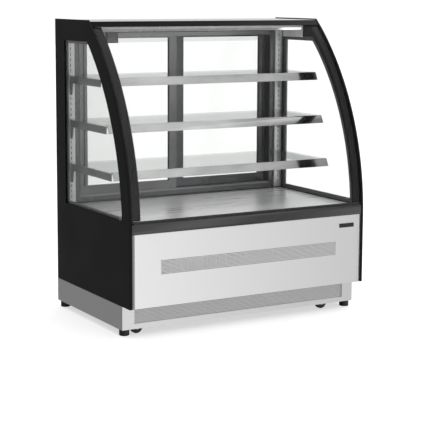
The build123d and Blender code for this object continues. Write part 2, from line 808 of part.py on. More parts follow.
# --- Evaporator in the well, with its fan plate and fan ---
coil_half = 380
coil_low = well_low + 2
coil_top = coil_low + 85
coil_front = 40
coil_rear = 120
fan_radius = 34
fan_z = (coil_low + coil_top) / 2
plate_front = coil_front - 32
with BuildPart() as evaporator_coil:
    block((-coil_half, coil_front, coil_low), (coil_half, coil_rear, coil_top))
    fin_count = int(2 * coil_half // 20) - 1
    for i in range(fin_count):
        fin_x = -coil_half + 20 * (i + 1)
        block(
            (fin_x, coil_front - 1, coil_low + 8),
            (fin_x + 12, coil_front + 20, coil_top - 8),
            mode=Mode.SUBTRACT,
        )
evaporator_coil.part.label = "evaporator_coil"
export_step(evaporator_coil.part, "parts/evaporator_coil.step")

with BuildPart() as evaporator_shroud:
    block((-coil_half, plate_front, coil_low), (coil_half, plate_front + 2, coil_top))
    block((-coil_half, plate_front, coil_top), (coil_half, coil_rear, coil_top + 2))
    with Locations(Location((0, plate_front + 1, fan_z), (90, 0, 0))):
        Cylinder(fan_radius + 3, 6, mode=Mode.SUBTRACT)
    block((-5, plate_front + 24, coil_low), (5, plate_front + 28, coil_top))
    with Locations(Location((0, plate_front + 18, fan_z), (90, 0, 0))):
        Cylinder(14, 16)
    with Locations(Location((0, plate_front + 6, fan_z), (90, 0, 0))):
        Cylinder(2.5, 12)
evaporator_shroud.part.label = "evaporator_shroud"
export_step(evaporator_shroud.part, "parts/evaporator_shroud.step")


def build_fan(radius, hub_radius, shaft_radius, thickness, blades, place):
    """Return a fan: a bored hub with pitched blades, turning about Y at a place."""
    with BuildPart() as fan:
        Cylinder(hub_radius, thickness)
        with PolarLocations((radius + hub_radius) / 2 - 1, blades):
            Box(radius - hub_radius + 2, radius * 0.45, 1.6, rotation=(28, 0, 0))
        Cylinder(shaft_radius + running_clearance, thickness + 1, mode=Mode.SUBTRACT)
    return fan.part.moved(Location(place, (90, 0, 0)))


evaporator_fan = build_fan(fan_radius, 10, 2.5, 9, 5, (0, plate_front + 4.5, fan_z))
evaporator_fan.label = "evaporator_fan"
export_step(evaporator_fan, "parts/evaporator_fan.step")

# --- Condensing unit on the plinth: compressor, condenser, shroud, fan and pipes ---
condenser_x = -200
condenser_half = 130
condenser_front = plinth_front + base_lap + 5
condenser_depth = 60
condenser_low = body_bottom
condenser_high = condenser_low + 180
condenser_z = (condenser_low + condenser_high) / 2
condenser_back = condenser_front + condenser_depth
with BuildPart() as condenser_coil:
    block(
        (condenser_x - condenser_half, condenser_front, condenser_low),
        (condenser_x + condenser_half, condenser_back, condenser_high),
    )
    gap_count = int(2 * condenser_half // 16) - 1
    for i in range(gap_count):
        gap_x = condenser_x - condenser_half + 16 * (i + 1)
        low = (gap_x, condenser_front - 1, condenser_low + 8)
        high = (gap_x + 10, condenser_front + 20, condenser_high - 8)
        block(low, high, mode=Mode.SUBTRACT)
condenser_coil.part.label = "condenser_coil"
export_step(condenser_coil.part, "parts/condenser_coil.step")

condenser_fan_radius = 72
shroud_depth = 50
with BuildPart() as condenser_shroud:
    low = (condenser_x - condenser_half, condenser_back, condenser_low)
    high = (condenser_x + condenser_half, condenser_back + shroud_depth, condenser_high)
    block(low, high)
    low = (condenser_x - condenser_half + 2, condenser_back - 1, condenser_low + 2)
    high = (condenser_x + condenser_half - 2, condenser_back + shroud_depth - 2, condenser_high - 2)
    block(low, high, mode=Mode.SUBTRACT)
    with Locations(Location((condenser_x, condenser_back + shroud_depth, condenser_z), (90, 0, 0))):
        Cylinder(condenser_fan_radius + 5, 10, mode=Mode.SUBTRACT)
    low = (condenser_x - 6, condenser_back + shroud_depth + 22, condenser_low)
    high = (condenser_x + 6, condenser_back + shroud_depth + 28, condenser_high)
    block(low, high)
    low = (condenser_x - 6, condenser_back + shroud_depth - 2, condenser_high - 4)
    high = (condenser_x + 6, condenser_back + shroud_depth + 28, condenser_high)
    block(low, high)
    with Locations(Location((condenser_x, condenser_back + shroud_depth + 20, condenser_z), (90, 0, 0))):
        Cylinder(24, 16)
    with Locations(Location((condenser_x, condenser_back + shroud_depth + 2, condenser_z), (90, 0, 0))):
        Cylinder(3, 22)
condenser_shroud.part.label = "condenser_shroud"
export_step(condenser_shroud.part, "parts/condenser_shroud.step")

fan_place = (condenser_x, condenser_back + shroud_depth - 1, condenser_z)
condenser_fan = build_fan(condenser_fan_radius, 20, 3, 18, 5, fan_place)
condenser_fan.label = "condenser_fan"
export_step(condenser_fan, "parts/condenser_fan.step")

compressor_x = 120
compressor_y = 60
compressor_radius = 78
shell_height = 120
shell_low = body_bottom + 12
stub_length = 6
pipe_z = shell_low + 30
with BuildPart() as compressor:
    with Locations((compressor_x, compressor_y, shell_low + shell_height / 2)):
        Cylinder(compressor_radius, shell_height)
    dome_edges = compressor.edges().filter_by(GeomType.CIRCLE)
    fillet(dome_edges.sort_by(Axis.Z)[-1], 34)
    low = (compressor_x - 95, compressor_y - 60, shell_low - 2)
    high = (compressor_x + 95, compressor_y + 60, shell_low + 2)
    block(low, high)
    with Locations((compressor_x, compressor_y, body_bottom + 5)):
        with GridLocations(160, 90, 2, 2):
            Cylinder(10, 10)
    with Locations((compressor_x + compressor_radius - 2, compressor_y, shell_low + 60)):
        Box(30, 50, 60)
    with Locations(Location((compressor_x - compressor_radius, compressor_y, pipe_z), (0, 90, 0))):
        Cylinder(8, 2 * stub_length)
compressor.part.label = "compressor"
export_step(compressor.part, "parts/compressor.step")

pipe_radius = 5
pipe_bend = 18
with BuildPart() as refrigerant_pipes:
    suction_x = compressor_x - 30
    suction_top = well_low - insulation
    with BuildSketch(Plane.XY.offset(shell_low + shell_height)):
        with Locations((suction_x, compressor_y)):
            Circle(pipe_radius)
    extrude(amount=suction_top - (shell_low + shell_height))
    with BuildLine() as discharge:
        FilletPolyline(
            (compressor_x - compressor_radius - stub_length, compressor_y, pipe_z),
            (condenser_x + condenser_half + 30, compressor_y, pipe_z),
            (condenser_x + condenser_half + 30, condenser_back - 20, pipe_z),
            (condenser_x + condenser_half, condenser_back - 20, pipe_z),
            radius=pipe_bend,
        )
    with BuildSketch(Plane(origin=discharge.line @ 0, z_dir=discharge.line % 0)):
        Circle(pipe_radius)
    sweep(path=discharge.line)
refrigerant_pipes.part.label = "refrigerant_pipes"
export_step(refrigerant_pipes.part, "parts/refrigerant_pipes.step")

# --- Rear service panel with louvres, control box, cable gland and screws ---
louvre_rows = 9
louvre_pitch = 18
louvre_half = 240
panel_front = frame_rear - 2
control_x = 400
control_z = belt_top - 70
control_half_x = 90
control_half_z = 34
gland_x = -half_width + 120
gland_z = body_bottom + 60
gland_radius = 12
with BuildPart() as rear_panel:
    block((-inner_x, panel_front, body_bottom), (inner_x, frame_rear, belt_top))
    low = (-inner_x, panel_front - 16, body_bottom)
    high = (-inner_x + 2, panel_front, belt_top)
    block(low, high)
    low = (inner_x - 2, panel_front - 16, body_bottom)
    high = (inner_x, panel_front, belt_top)
    block(low, high)
    for row in range(louvre_rows):
        slot_z = body_bottom + 70 + row * louvre_pitch
        low = (-louvre_half, panel_front - 1, slot_z)
        high = (louvre_half, frame_rear + 1, slot_z + 7)
        block(low, high, mode=Mode.SUBTRACT)
    low = (control_x - control_half_x, panel_front - 1, control_z - control_half_z)
    high = (control_x + control_half_x, frame_rear + 1, control_z + control_half_z)
    block(low, high, mode=Mode.SUBTRACT)
    with Locations(Location((gland_x, frame_rear - 1, gland_z), (90, 0, 0))):
        Cylinder(gland_radius, 6, mode=Mode.SUBTRACT)
rear_panel.part.label = "rear_panel"
export_step(rear_panel.part, "parts/rear_panel.step")

button_size = 12
button_gap = 0.4
button_spots = {"up": control_x - 2, "down": control_x + 26}
rocker_x = control_x + 68
rocker_width = 16
rocker_height = 28
display_x = control_x - 48
box_depth = 40
rim = 6
with BuildPart() as control_box:
    low = (control_x - control_half_x - rim, frame_rear, control_z - control_half_z - rim)
    high = (control_x + control_half_x + rim, frame_rear + 2.5, control_z + control_half_z + rim)
    block(low, high)
    body_half_x = control_half_x - fit_gap
    body_half_z = control_half_z - fit_gap
    block(
        (control_x - body_half_x, frame_rear - box_depth, control_z - body_half_z),
        (control_x + body_half_x, frame_rear, control_z + body_half_z),
    )
    low = (control_x - control_half_x + 3, frame_rear - box_depth - 1, control_z - control_half_z + 3)
    high = (control_x + control_half_x - 3, frame_rear - 1, control_z + control_half_z - 3)
    block(low, high, mode=Mode.SUBTRACT)
    low = (display_x - 25, frame_rear + 1.5, control_z - 12)
    high = (display_x + 25, frame_rear + 3, control_z + 12)
    block(low, high, mode=Mode.SUBTRACT)
    for x in button_spots.values():
        half_hole = button_size / 2 + button_gap
        low = (x - half_hole, frame_rear - 2, control_z - half_hole)
        high = (x + half_hole, frame_rear + 3, control_z + half_hole)
        block(low, high, mode=Mode.SUBTRACT)
    low = (rocker_x - rocker_width / 2 - 0.6, frame_rear - 2, control_z - rocker_height / 2 - 1)
    high = (rocker_x + rocker_width / 2 + 0.6, frame_rear + 3, control_z + rocker_height / 2 + 1)
    block(low, high, mode=Mode.SUBTRACT)
control_box.part.label = "control_box"
export_step(control_box.part, "parts/control_box.step")

for name, x in button_spots.items():
    with BuildPart() as button:
        half = button_size / 2
        low = (x - half, frame_rear - 5, control_z - half)
        high = (x + half, frame_rear + 3.8, control_z + half)
        block(low, high)
        fillet(button.faces().sort_by(Axis.Y)[-1].edges(), 1)
    button.part.label = f"button_{name}"
    export_step(button.part, f"parts/button_{name}.step")

with BuildPart() as light_rocker:
    with BuildSketch(Plane.YZ.offset(rocker_x - rocker_width / 2)):
        with BuildLine():
            Polyline(
                (frame_rear - 6, control_z - 6),
                (frame_rear + 1.5, control_z - rocker_height / 2 + 0.4),
                (frame_rear + 2.4, control_z),
                (frame_rear + 4.6, control_z + rocker_height / 2 - 1),
                (frame_rear + 0.5, control_z + rocker_height / 2 - 0.6),
                (frame_rear - 6, control_z + 6),
                close=True,
            )
        make_face()
    extrude(amount=rocker_width)
light_rocker.part.label = "light_rocker"
export_step(light_rocker.part, "parts/light_rocker.step")

with BuildPart() as cable_gland:
    with Locations(Location((gland_x, frame_rear + 2, gland_z), (90, 0, 0))):
        Cylinder(gland_radius + 4, 4)
    with Locations(Location((gland_x, frame_rear - 8, gland_z), (90, 0, 0))):
        Cylinder(gland_radius - fit_gap, 16)
        Cylinder(4.5, 30, mode=Mode.SUBTRACT)
    with Locations(Location((gland_x, frame_rear + 2, gland_z), (90, 0, 0))):
        Cylinder(4.5, 8, mode=Mode.SUBTRACT)
cable_gland.part.label = "cable_gland"
export_step(cable_gland.part, "parts/cable_gland.step")

screw_columns = 3
screw_head = 5
screw_edge = 14
with BuildPart() as panel_screws:
    screw_span_x = (inner_x - screw_edge - 12) * 2
    screw_span_z = belt_top - body_bottom - 2 * screw_edge
    with BuildSketch(Plane.XZ.offset(-frame_rear)):
        with Locations((0, middle_z)):
            with GridLocations(screw_span_x / (screw_columns - 1), screw_span_z, screw_columns, 2):
                Circle(screw_head)
    extrude(amount=-2.2)
    fillet(panel_screws.faces().filter_by(Axis.Y).sort_by(Axis.Y)[-6:].edges(), 1.2)
panel_screws.part.label = "panel_screws"
export_step(panel_screws.part, "parts/panel_screws.step")
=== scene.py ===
import math

import bpy
import numpy as np
from mathutils import Matrix, Vector


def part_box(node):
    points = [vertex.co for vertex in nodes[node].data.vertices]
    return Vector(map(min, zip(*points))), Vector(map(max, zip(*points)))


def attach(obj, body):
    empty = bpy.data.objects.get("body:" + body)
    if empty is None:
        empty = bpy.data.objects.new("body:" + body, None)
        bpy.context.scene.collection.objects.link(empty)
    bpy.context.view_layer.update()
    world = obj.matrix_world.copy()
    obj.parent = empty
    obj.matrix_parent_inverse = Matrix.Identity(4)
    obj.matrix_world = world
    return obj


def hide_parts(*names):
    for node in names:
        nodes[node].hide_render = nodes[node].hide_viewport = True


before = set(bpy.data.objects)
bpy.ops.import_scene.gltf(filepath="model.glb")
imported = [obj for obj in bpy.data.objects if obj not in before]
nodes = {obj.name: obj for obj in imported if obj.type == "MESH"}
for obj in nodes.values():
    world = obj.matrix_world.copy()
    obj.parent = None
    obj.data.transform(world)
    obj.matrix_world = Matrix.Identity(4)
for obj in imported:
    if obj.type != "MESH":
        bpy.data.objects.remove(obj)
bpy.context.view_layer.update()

# Camera. A long lens stands off the left front corner, a little above the canopy, and looks
# slightly down, so that the left side wall and the whole front show.
eye = Vector((-3.0609, -5.3106, 1.454))
heading, dip, bank = math.radians(30.033), math.radians(8.093), math.radians(0.279)
ahead = Vector((math.sin(heading) * math.cos(dip), math.cos(heading) * math.cos(dip), -math.sin(dip)))
level = Vector((math.cos(heading), -math.sin(heading), 0.0))
above = level.cross(ahead)
right_hand = level * math.cos(bank) + above * math.sin(bank)
crown = above * math.cos(bank) - level * math.sin(bank)
camera_data = bpy.data.cameras.new("camera")
camera_data.sensor_width = 36.0
camera_data.lens = 114.42
camera_data.shift_y = -0.066
camera = bpy.data.objects.new("camera", camera_data)
bpy.context.scene.collection.objects.link(camera)
camera.matrix_world = Matrix.Translation(eye) @ Matrix((right_hand, crown, -ahead)).transposed().to_4x4()
bpy.context.scene.camera = camera

# Studio. A white room: the backdrop is plain white to the eye, and what shiny steel sees of it
# goes from dim on the left to bright in front and softer again on the right, brighter behind.
bpy.context.scene.view_settings.view_transform = "Standard"
bpy.context.scene.cycles.transparent_max_bounces = 40
bpy.context.scene.cycles.max_bounces = 12
room = bpy.data.worlds.new("studio_room")
bpy.context.scene.world = room
room.use_nodes = True
sky = room.node_tree.nodes
wire = room.node_tree.links
sky.clear()
direction = sky.new("ShaderNodeTexCoord")
axes = sky.new("ShaderNodeSeparateXYZ")
wire.new(direction.outputs["Generated"], axes.inputs[0])
across = sky.new("ShaderNodeMapRange")
across.inputs["From Min"].default_value = -1.0
wire.new(axes.outputs["X"], across.inputs["Value"])
halves = []
for glows in (
    ((0.0, 0.22), (0.35, 0.26), (0.52, 0.8), (0.66, 1.35), (0.73, 1.05), (0.81, 0.42), (1.0, 0.4)),
    ((0.0, 0.2), (0.4, 0.3), (0.6, 0.6), (0.75, 0.9), (1.0, 1.0)),
):
    sweep = sky.new("ShaderNodeValToRGB")
    sweep.color_ramp.interpolation = "EASE"
    for place, glow in glows:
        stop = sweep.color_ramp.elements.new(place)
        stop.color = (glow, glow, glow, 1.0)
    sweep.color_ramp.elements.remove(sweep.color_ramp.elements[0])
    sweep.color_ramp.elements.remove(sweep.color_ramp.elements[-1])
    wire.new(across.outputs["Result"], sweep.inputs["Fac"])
    halves.append(sweep)
behind = sky.new("ShaderNodeMapRange")
behind.inputs["From Min"].default_value = -0.2
behind.inputs["From Max"].default_value = 0.2
wire.new(axes.outputs["Y"], behind.inputs["Value"])
both = sky.new("ShaderNodeMix")
both.data_type = "RGBA"
wire.new(behind.outputs["Result"], both.inputs[0])
wire.new(halves[0].outputs["Color"], both.inputs[6])
wire.new(halves[1].outputs["Color"], both.inputs[7])
patches = sky.new("ShaderNodeTexNoise")
patches.inputs["Scale"].default_value = 3.5
patches.inputs["Detail"].default_value = 2.0
wire.new(direction.outputs["Generated"], patches.inputs["Vector"])
unevenness = sky.new("ShaderNodeMapRange")
unevenness.inputs["From Min"].default_value = 0.3
unevenness.inputs["From Max"].default_value = 0.7
unevenness.inputs["To Min"].default_value = 0.8
unevenness.inputs["To Max"].default_value = 1.15
wire.new(patches.outputs["Fac"], unevenness.inputs["Value"])
surroundings = sky.new("ShaderNodeBackground")
wire.new(both.outputs[2], surroundings.inputs["Color"])
wire.new(unevenness.outputs["Result"], surroundings.inputs["Strength"])
backdrop = sky.new("ShaderNodeBackground")
backdrop.inputs["Color"].default_value = (1.0, 1.0, 1.0, 1.0)
backdrop.inputs["Strength"].default_value = 1.02
ray = sky.new("ShaderNodeLightPath")
to_the_eye = sky.new("ShaderNodeMixShader")
wire.new(ray.outputs["Is Camera Ray"], to_the_eye.inputs["Fac"])
wire.new(surroundings.outputs[0], to_the_eye.inputs[1])
wire.new(backdrop.outputs[0], to_the_eye.inputs[2])
room_output = sky.new("ShaderNodeOutputWorld")
wire.new(to_the_eye.outputs[0], room_output.inputs["Surface"])

overhead_data = bpy.data.lights.new("overhead_light", "SUN")
overhead_data.energy = 3.0
overhead_data.angle = math.radians(100)
overhead = bpy.data.objects.new("overhead_light", overhead_data)
overhead.rotation_euler = (math.radians(-14), math.radians(10), 0.0)
overhead.visible_glossy = False
bpy.context.scene.collection.objects.link(overhead)

floor_mesh = bpy.data.meshes.new("studio_floor")
floor_mesh.from_pydata([(-30, -30, 0), (30, -30, 0), (30, 30, 0), (-30, 30, 0)], [], [(0, 1, 2, 3)])
floor = bpy.data.objects.new("studio_floor", floor_mesh)
bpy.context.scene.collection.objects.link(floor)
floor.visible_glossy = False
floor_paint = bpy.data.materials.new("white_floor")
floor_paint.use_nodes = True
floor_shader = floor_paint.node_tree.nodes["Principled BSDF"]
floor_shader.inputs["Base Color"].default_value = (0.45, 0.45, 0.45, 1.0)
floor_shader.inputs["Emission Color"].default_value = (1.0, 1.0, 1.0, 1.0)
floor_shader.inputs["Emission Strength"].default_value = 0.62
floor_shader.inputs["Roughness"].default_value = 0.9
floor_mesh.materials.append(floor_paint)
# A near-black sheet lies just above the floor under the case and is seen only by gloss rays: painted shade,
# so the steel reflects a dark floor beneath the case.
shade_mesh = bpy.data.meshes.new("painted_shade_under_case")
shade_corners = [(-0.6, -0.3, 0), (0.6, -0.3, 0), (0.6, 0.37, 0), (-0.6, 0.37, 0)]
shade_mesh.from_pydata(shade_corners, [], [(0, 1, 2, 3)])
shade = bpy.data.objects.new("painted_shade_under_case", shade_mesh)
shade.location.z = 0.0004
shade.visible_camera = shade.visible_diffuse = shade.visible_shadow = False
bpy.context.scene.collection.objects.link(shade)
shade_paint = bpy.data.materials.new("painted_shade_floor")
shade_paint.use_nodes = True
shade_paint.node_tree.nodes["Principled BSDF"].inputs["Base Color"].default_value = (0.02, 0.02, 0.02, 1.0)
shade_mesh.materials.append(shade_paint)

# Levelling feet. Black moulded nylon pads on threaded stems, screwed into welded nuts in the
# plinth, so each turns by itself. Every finish of the case is mixed by the recipe that is given here.


def mix_finish(name, colour, roughness, metallic=0.0, grain=(1.0, 1.0, 1.0), grain_size=0.02,
               tone=0.08, gloss=0.06, relief=0.1, relief_size=0.0012, specular=0.5, coat=0.0):
    """A finish whose tone and gloss wander with stretched noise, over a fine relief."""
    finish = bpy.data.materials.new(name)
    finish.use_nodes = True
    tree = finish.node_tree
    shader = tree.nodes["Principled BSDF"]
    shader.inputs["Metallic"].default_value = metallic
    shader.inputs["Specular IOR Level"].default_value = specular
    shader.inputs["Coat Weight"].default_value = coat
    shader.inputs["Coat Roughness"].default_value = 0.06
    place = tree.nodes.new("ShaderNodeTexCoord")
    stretch = tree.nodes.new("ShaderNodeMapping")
    stretch.inputs["Scale"].default_value = grain
    tree.links.new(place.outputs["Object"], stretch.inputs["Vector"])
    wander = tree.nodes.new("ShaderNodeTexNoise")
    wander.inputs["Scale"].default_value = 1.0 / grain_size
    wander.inputs["Detail"].default_value = 3.0
    tree.links.new(stretch.outputs["Vector"], wander.inputs["Vector"])
    shade = tree.nodes.new("ShaderNodeValToRGB")
    shade.color_ramp.elements[0].position = 0.3
    shade.color_ramp.elements[1].position = 0.7
    shade.color_ramp.elements[0].color = (*[c * (1.0 - tone) for c in colour], 1.0)
    shade.color_ramp.elements[1].color = (*[min(c * (1.0 + tone), 1.0) for c in colour], 1.0)
    tree.links.new(wander.outputs["Fac"], shade.inputs["Fac"])
    tree.links.new(shade.outputs["Color"], shader.inputs["Base Color"])
    polish = tree.nodes.new("ShaderNodeMapRange")
    polish.inputs["From Min"].default_value = 0.3
    polish.inputs["From Max"].default_value = 0.7
    polish.inputs["To Min"].default_value = max(roughness - gloss, 0.02)
    polish.inputs["To Max"].default_value = roughness + gloss
    tree.links.new(wander.outputs["Fac"], polish.inputs["Value"])
    tree.links.new(polish.outputs["Result"], shader.inputs["Roughness"])
    pores = tree.nodes.new("ShaderNodeTexNoise")
    pores.inputs["Scale"].default_value = 1.0 / relief_size
    tree.links.new(stretch.outputs["Vector"], pores.inputs["Vector"])
    bump = tree.nodes.new("ShaderNodeBump")
    bump.inputs["Strength"].default_value = relief
    bump.inputs["Distance"].default_value = 0.0004
    tree.links.new(pores.outputs["Fac"], bump.inputs["Height"])
    tree.links.new(bump.outputs["Normal"], shader.inputs["Normal"])
    return finish


def dress(node, finish, edge=0.0):
    """Give a frame node its finish, and break its sharp edges by a small radius in metres."""
    part = nodes[node]
    for seat in part.material_slots:
        seat.material = finish
    if edge:
        weld = part.modifiers.new("joined_faces", "WELD")
        weld.merge_threshold = 1e-6
        rounding = part.modifiers.new("broken_edges", "BEVEL")
        rounding.width = edge
        rounding.segments = 2
        rounding.limit_method = "ANGLE"
        rounding.angle_limit = math.radians(50)
        rounding.harden_normals = True
    return part


corners = ("front_left", "front_right", "rear_left", "rear_right")
nylon = mix_finish("foot_nylon", (0.012, 0.012, 0.012), 0.5, grain_size=0.01, relief=0.3)
for corner in corners:
    dress(f"foot_{corner}", nylon)

# Transport casters. Zinc-plated steel forks under the plinth's cross rails, and black rubber
# wheels that roll on their axles.
zinc_plate = mix_finish("zinc_plate", (0.55, 0.56, 0.58), 0.35, metallic=1.0, grain_size=0.006, tone=0.15)
tyre_rubber = mix_finish("tyre_rubber", (0.02, 0.02, 0.021), 0.55, grain_size=0.005, relief=0.4)
dress("caster_forks", zinc_plate, 0.0006)
for corner in corners:
    dress(f"caster_wheel_{corner}", tyre_rubber)

# Plinth. Satin stainless sheet folded round the base, with its grain running level.
plinth_satin = mix_finish(
    "plinth_satin", (0.74, 0.74, 0.74), 0.36, metallic=1.0, grain=(1.0, 1.0, 90.0),
    grain_size=0.25, tone=0.02, gloss=0.02, relief=0.06, relief_size=0.03,
)
dress("plinth_frame", plinth_satin)

# Side walls. Steel sheet over foam, painted satin black, each cut out for a window.
wall_black = mix_finish(
    "wall_black", (0.0022, 0.0022, 0.0023), 0.42, grain_size=0.3, tone=0.1, gloss=0.05,
    relief=0.1, relief_size=0.004, specular=0.16,
)
for side in ("left", "right"):
    dress(f"side_panel_{side}", wall_black, 0.001)

# Side windows. Two panes of float glass, a plastic bar between their edges.


def mix_glass(name, tint, ripple=0.02, least=0.035):
    """Clear glass: its tint lets through what is behind, and its gloss grows with the fifth power
    of the slant, the same on both faces of the pane."""
    finish = bpy.data.materials.new(name)
    finish.use_nodes = True
    tree = finish.node_tree
    tree.nodes.remove(tree.nodes["Principled BSDF"])
    through = tree.nodes.new("ShaderNodeBsdfTransparent")
    through.inputs["Color"].default_value = (*tint, 1.0)
    mirror = tree.nodes.new("ShaderNodeBsdfAnisotropic")
    mirror.inputs["Roughness"].default_value = 0.03
    slant = tree.nodes.new("ShaderNodeLayerWeight")
    steepness = tree.nodes.new("ShaderNodeMath")
    steepness.operation = "POWER"
    steepness.inputs[1].default_value = 5.0
    tree.links.new(slant.outputs["Facing"], steepness.inputs[0])
    shine = tree.nodes.new("ShaderNodeMapRange")
    shine.inputs["To Min"].default_value = least
    shine.inputs["To Max"].default_value = 0.9
    tree.links.new(steepness.outputs[0], shine.inputs["Value"])
    place = tree.nodes.new("ShaderNodeTexCoord")
    waves = tree.nodes.new("ShaderNodeTexNoise")
    waves.inputs["Scale"].default_value = 4.0
    tree.links.new(place.outputs["Object"], waves.inputs["Vector"])
    bump = tree.nodes.new("ShaderNodeBump")
    bump.inputs["Strength"].default_value = ripple
    bump.inputs["Distance"].default_value = 0.002
    tree.links.new(waves.outputs["Fac"], bump.inputs["Height"])
    tree.links.new(bump.outputs["Normal"], mirror.inputs["Normal"])
    pane = tree.nodes.new("ShaderNodeMixShader")
    tree.links.new(shine.outputs["Result"], pane.inputs["Fac"])
    tree.links.new(through.outputs[0], pane.inputs[1])
    tree.links.new(mirror.outputs[0], pane.inputs[2])
    tree.links.new(pane.outputs[0], tree.nodes["Material Output"].inputs["Surface"])
    return finish


side_glass = mix_glass("side_float_glass", (0.975, 0.98, 0.977), least=0.01)
spacer_plastic = mix_finish("spacer_plastic", (0.2, 0.2, 0.2), 0.35, metallic=0.6, grain_size=0.1)
for side in ("left", "right"):
    dress(f"side_glazing_{side}", side_glass)
dress("side_spacers", spacer_plastic)

# Cold well. Foam tub under the deck with a stainless lining.
foam_skin = mix_finish("foam_skin", (0.75, 0.68, 0.5), 0.8, grain_size=0.02, tone=0.12, relief=0.8)
lining_steel = mix_finish(
    "lining_steel", (0.62, 0.62, 0.62), 0.3, metallic=1.0, grain=(1.0, 60.0, 60.0), grain_size=0.2,
)
dress("well_insulation", foam_skin)
dress("well_liner", lining_steel)

# Cooling. Finned coils in their sheet shrouds, fans, the compressor and its copper pipes.
fin_metal = mix_finish(
    "fin_metal", (0.7, 0.71, 0.72), 0.4, metallic=1.0, grain=(300.0, 1.0, 1.0), grain_size=0.4, tone=0.3,
)
shroud_sheet = mix_finish("shroud_sheet", (0.5, 0.5, 0.51), 0.45, metallic=1.0, grain_size=0.03)
fan_plastic = mix_finish("fan_plastic", (0.02, 0.02, 0.02), 0.45, grain_size=0.01)
shell_paint = mix_finish("compressor_paint", (0.012, 0.012, 0.013), 0.3, grain_size=0.01, relief=0.3)
copper_tube = mix_finish("copper_tube", (0.72, 0.36, 0.22), 0.28, metallic=1.0, grain_size=0.02, tone=0.2)
for node, finish in (
    ("evaporator_coil", fin_metal), ("condenser_coil", fin_metal), ("evaporator_shroud", shroud_sheet),
    ("condenser_shroud", shroud_sheet), ("evaporator_fan", fan_plastic), ("condenser_fan", fan_plastic),
    ("compressor", shell_paint), ("refrigerant_pipes", copper_tube),
):
    dress(node, finish)

# Front panel and plinth grille. Stainless sheet with its grain running level, perforated with
# staggered round holes where air goes in, and folded back along the top and bottom edges.
front_satin = mix_finish(
    "front_satin", (0.84, 0.84, 0.84), 0.3, metallic=1.0, grain=(1.0, 1.0, 160.0),
    grain_size=0.3, tone=0.004, gloss=0.01, relief=0.02, relief_size=0.03,
)
hole_radius = 0.0020
hole_pitch = 0.0065
row_pitch = 0.00573


def perforate(xs, ss, first_column, first_row, columns, rows, spot):
    """Faces of a sheet on the lines xs by ss. Inside the block of columns by rows, every second
    square of four is a ring of eight faces round an eight-sided hole, shifted by half a pitch
    in each second row; elsewhere each square of the grid is one face. spot(x, s) gives 3-D."""
    nx, ns = len(xs), len(ss)
    index = np.arange(nx * ns).reshape(ns, nx)
    row, column = np.meshgrid(np.arange(rows), np.arange(columns), indexing="ij")
    shift = row % 2
    keep = column < columns - shift
    low_x = (first_column + 2 * column + shift)[keep]
    low_s = (first_row + 2 * row)[keep]
    solid = np.ones((ns - 1, nx - 1), bool)
    for dx in (0, 1):
        for ds in (0, 1):
            solid[low_s + ds, low_x + dx] = False
    s_low, x_low = np.nonzero(solid)
    below, over = index[:-1], index[1:]
    plain = np.stack(
        [below[s_low, x_low], below[s_low, x_low + 1], over[s_low, x_low + 1], over[s_low, x_low]], 1,
    )
    ring_x = np.array([2, 2, 1, 0, 0, 0, 1, 2])
    ring_s = np.array([1, 2, 2, 2, 1, 0, 0, 0])
    around = index[low_s[:, None] + ring_s, low_x[:, None] + ring_x]
    angle = np.arange(8) * np.pi / 4
    hole_x = xs[low_x + 1][:, None] + hole_radius * np.cos(angle)
    hole_s = ss[low_s + 1][:, None] + hole_radius * np.sin(angle)
    rim = nx * ns + np.arange(hole_x.size).reshape(hole_x.shape)
    ring = np.stack([around, np.roll(around, -1, 1), np.roll(rim, -1, 1), rim], 2).reshape(-1, 4)
    grid_x, grid_s = np.meshgrid(xs, ss)
    all_x = np.concatenate([grid_x.ravel(), hole_x.ravel()])
    all_s = np.concatenate([grid_s.ravel(), hole_s.ravel()])
    return spot(all_x, all_s), np.concatenate([plain, ring])


def new_piece(name, points, faces, finish, body, smooth=35.0):
    """Put points and faces into a mesh piece that rides on a body; sharper edges stay crisp."""
    mesh = bpy.data.meshes.new(name)
    mesh.from_pydata(points.tolist(), [], faces.tolist())
    mesh.materials.append(finish)
    mesh.shade_smooth()
    mesh.set_sharp_from_angle(angle=math.radians(smooth))
    piece = bpy.data.objects.new(name, mesh)
    bpy.context.scene.collection.objects.link(piece)
    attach(piece, body)
    return piece


def thicken(piece, sheet, outward=False):
    """Give a sheet its thickness, on the inner side of its faces unless told otherwise."""
    wall = piece.modifiers.new("sheet_thickness", "SOLIDIFY")
    wall.thickness = sheet
    wall.offset = 1.0 if outward else -1.0
    wall.use_even_offset = True
    return piece


def spread(low, high, step):
    """Evenly spaced values from low to high, close to a step apart."""
    return np.linspace(low, high, max(int(round((high - low) / step)), 1) + 1)


def weave_faces(across_count, along_count):
    """Faces of a grid of points, counted across first."""
    index = np.arange(across_count * along_count).reshape(along_count, across_count)
    corners_of = (index[:-1, :-1], index[:-1, 1:], index[1:, 1:], index[1:, :-1])
    return np.stack(corners_of, -1).reshape(-1, 4)


